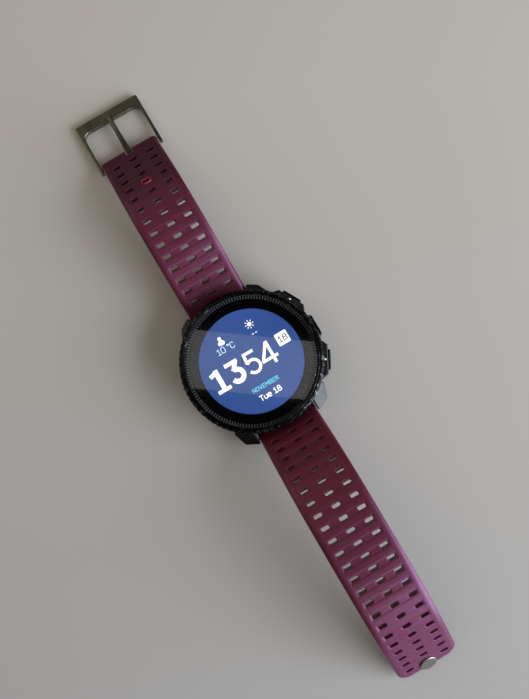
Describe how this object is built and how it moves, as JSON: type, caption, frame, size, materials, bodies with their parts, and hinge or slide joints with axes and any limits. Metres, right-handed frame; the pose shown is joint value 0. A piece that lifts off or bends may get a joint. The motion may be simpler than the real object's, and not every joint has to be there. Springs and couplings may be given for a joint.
{
  "type": "gps running watch",
  "caption": "Round digital running watch lying on its back: case with side buttons, slotted silicone strap halves standing in arches, pin buckle and a stud at the tip.",
  "frame": {"origin": "centre of the watch's flat rear face, the sensor window, which rests on the table", "axes": "+X to 3 o'clock, the side with the buttons; +Y to 12 o'clock, along the buckle half of the strap; +Z out through the display"},
  "size_m": [0.0501, 0.2234, 0.0278],
  "materials": {
    "case_polymer": "fine grain, satin",
    "bezel_metal": "dark hard coating, edges rubbed to grey",
    "crystal_glass": "polished",
    "window_glass": "dark tinted, polished",
    "seal_rubber": "matt",
    "tick_print": "pale ticks on black",
    "mark_paint": "pale paint",
    "solar_film": "glossy black film",
    "display_glass": "lit display behind glass",
    "inner_plastic": "moulded",
    "circuit_board": "solder mask",
    "chip_resin": "moulded resin",
    "shield_steel": "tin plate",
    "battery_foil": "laminate foil",
    "contact_gold": "gold plate",
    "button_metal": "dark hard coating",
    "spring_steel": "plain steel",
    "strap_silicone": "matt plum silicone with a fine bloom",
    "buckle_metal": "gunmetal coating",
    "stud_metal": "bead-blasted steel"
  },
  "bodies": {
    "case": {"mid_case": "case_polymer", "guard_marks": "mark_paint", "bezel_ring": "bezel_metal", "crystal": "crystal_glass", "crystal_gasket": "seal_rubber", "tick_ring": "tick_print", "solar_ring": "solar_film", "display_panel": "display_glass", "display_frame": "inner_plastic", "display_flex": "circuit_board", "antenna_ring": "inner_plastic", "case_back": "case_polymer", "case_back_gasket": "seal_rubber", "case_back_screws": "spring_steel", "sensor_window": "window_glass", "sensor_board": "circuit_board", "sensor_leds": "chip_resin", "charge_contacts": "contact_gold", "main_board": "circuit_board", "board_chips": "chip_resin", "shield_can": "shield_steel", "battery": "battery_foil", "vibration_motor": "shield_steel", "pressure_sensor": "chip_resin", "button_switches": "inner_plastic", "button_spring_upper": "spring_steel", "button_spring_middle": "spring_steel", "button_spring_lower": "spring_steel"},
    "button_upper": {"button_upper": "button_metal", "button_seal_upper": "seal_rubber", "button_clip_upper": "spring_steel"},
    "button_middle": {"button_middle": "button_metal", "button_seal_middle": "seal_rubber", "button_clip_middle": "spring_steel"},
    "button_lower": {"button_lower": "button_metal", "button_seal_lower": "seal_rubber", "button_clip_lower": "spring_steel"},
    "strap_short": {"strap_short": "strap_silicone", "bar_tube_north": "spring_steel", "bar_spring_north": "spring_steel"},
    "strap_long": {"strap_long": "strap_silicone", "bar_tube_south": "spring_steel", "bar_spring_south": "spring_steel", "stud_head": "stud_metal", "stud_peg": "stud_metal"},
    "release_pin_north": {"release_pin_north": "spring_steel"},
    "release_pin_south": {"release_pin_south": "spring_steel"},
    "buckle_frame": {"buckle_frame": "buckle_metal", "buckle_pin": "spring_steel"},
    "buckle_tongue": {"buckle_tongue": "buckle_metal"}
  },
  "joints": [
    {"name": "button_upper_press", "type": "slide", "parent": "case", "child": "button_upper", "axis": [-0.8788, -0.4772, 0], "range_m": [0, 0.0006], "stiffness_N_per_m": 2500, "deforming": ["button_spring_upper"]},
    {"name": "button_middle_press", "type": "slide", "parent": "case", "child": "button_middle", "axis": [-1, 0, 0], "range_m": [0, 0.0006], "stiffness_N_per_m": 2500, "deforming": ["button_spring_middle"]},
    {"name": "button_lower_press", "type": "slide", "parent": "case", "child": "button_lower", "axis": [-0.8788, 0.4772, 0], "range_m": [0, 0.0006], "stiffness_N_per_m": 2500, "deforming": ["button_spring_lower"]},
    {"name": "strap_short_pivot", "type": "hinge", "parent": "case", "child": "strap_short", "pos_m": [0, 0.0238, 0.0044], "axis": [1, 0, 0], "range_deg": [-95, 30]},
    {"name": "strap_long_pivot", "type": "hinge", "parent": "case", "child": "strap_long", "pos_m": [0, -0.0238, 0.0044], "axis": [-1, 0, 0], "range_deg": [-105, 8]},
    {"name": "release_north_slide", "type": "slide", "parent": "strap_short", "child": "release_pin_north", "axis": [1, 0, 0], "range_m": [0, 0.0013], "stiffness_N_per_m": 600, "deforming": ["bar_spring_north"]},
    {"name": "release_south_slide", "type": "slide", "parent": "strap_long", "child": "release_pin_south", "axis": [1, 0, 0], "range_m": [0, 0.0013], "stiffness_N_per_m": 600, "deforming": ["bar_spring_south"]},
    {"name": "buckle_pivot", "type": "hinge", "parent": "strap_short", "child": "buckle_frame", "pos_m": [0, 0.08661, 0.00214], "axis": [1, 0, 0], "range_deg": [-60, 30]},
    {"name": "tongue_pivot", "type": "hinge", "parent": "buckle_frame", "child": "buckle_tongue", "pos_m": [0, 0.08661, 0.00214], "axis": [1, 0, 0], "range_deg": [0, 40]}
  ]
}
